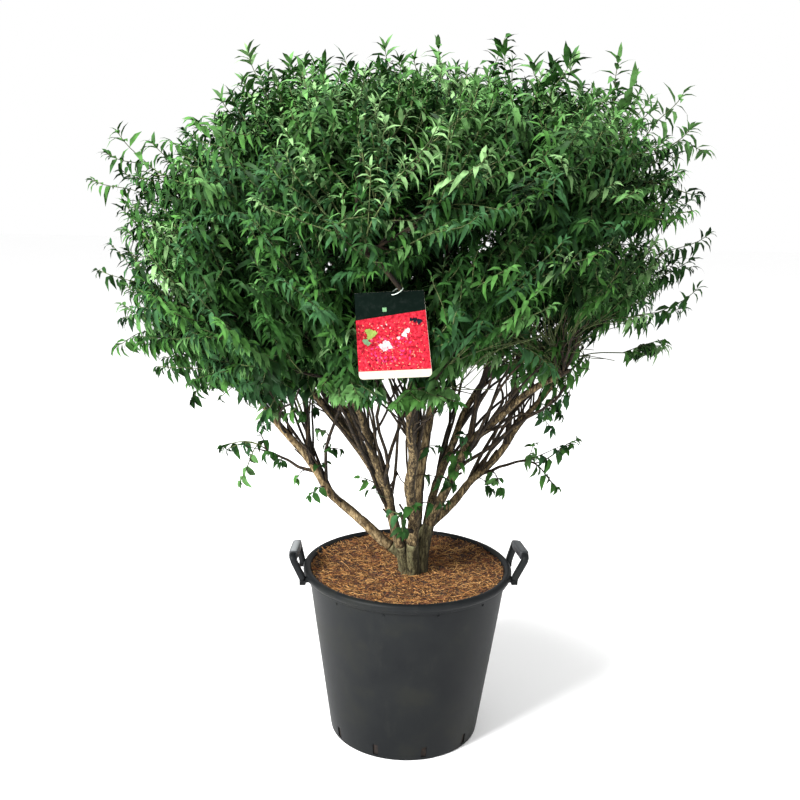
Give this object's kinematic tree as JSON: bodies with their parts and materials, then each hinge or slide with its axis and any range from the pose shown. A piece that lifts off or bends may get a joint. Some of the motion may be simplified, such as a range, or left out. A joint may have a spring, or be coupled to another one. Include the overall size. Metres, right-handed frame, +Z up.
{
  "type": "potted dwarf burning bush",
  "caption": "Many-stemmed broad shrub with narrow green leaves, in a round black nursery pot with a handle at each side and a picture tag hung in front.",
  "frame": {"origin": "centre of the pot's flat underside", "axes": "+Z up, +X to the right of the front view, -Y to the front"},
  "size_m": [1.4227, 1.2633, 1.6633],
  "materials": {
    "pot": "moulded black plastic with a soft sheen",
    "medium": "brown coir fibre",
    "bark": "ridged tan bark",
    "leaf": "green leaves with a soft sheen",
    "tag": "printed plastic card",
    "loop": "pale plastic loop"
  },
  "bodies": {
    "root": {"bough_back": "bark", "bough_back_upper": "bark", "bough_centre": "bark", "bough_front": "bark", "bough_front_left": "bark", "bough_front_upper": "bark", "bough_inner": "bark", "bough_left_back": "bark", "bough_left_back_upper": "bark", "bough_left_front": "bark", "bough_left_front_upper": "bark", "bough_left_low": "bark", "bough_left_upper": "bark", "bough_low_left_spray": "bark", "bough_low_right_spray": "bark", "bough_right_back": "bark", "bough_right_front": "bark", "bough_right_front_upper": "bark", "bough_right_low": "bark", "bough_right_upper": "bark", "bough_sucker": "bark", "foliage_back": "leaf", "foliage_back_upper": "leaf", "foliage_front": "leaf", "foliage_front_left": "leaf", "foliage_front_upper": "leaf", "foliage_inner": "leaf", "foliage_left": "leaf", "foliage_left_back": "leaf", "foliage_left_back_upper": "leaf", "foliage_left_front": "leaf", "foliage_left_front_upper": "leaf", "foliage_left_upper": "leaf", "foliage_low_left": "leaf", "foliage_low_right": "leaf", "foliage_right": "leaf", "foliage_right_back": "leaf", "foliage_right_front": "leaf", "foliage_right_front_upper": "leaf", "foliage_right_upper": "leaf", "foliage_sucker": "leaf", "foliage_top": "leaf", "growing_medium": "medium", "handle_left": "pot", "handle_right": "pot", "picture_tag": "tag", "pot": "pot", "tag_loop": "loop", "trunk": "bark"}
  },
  "joints": []
}
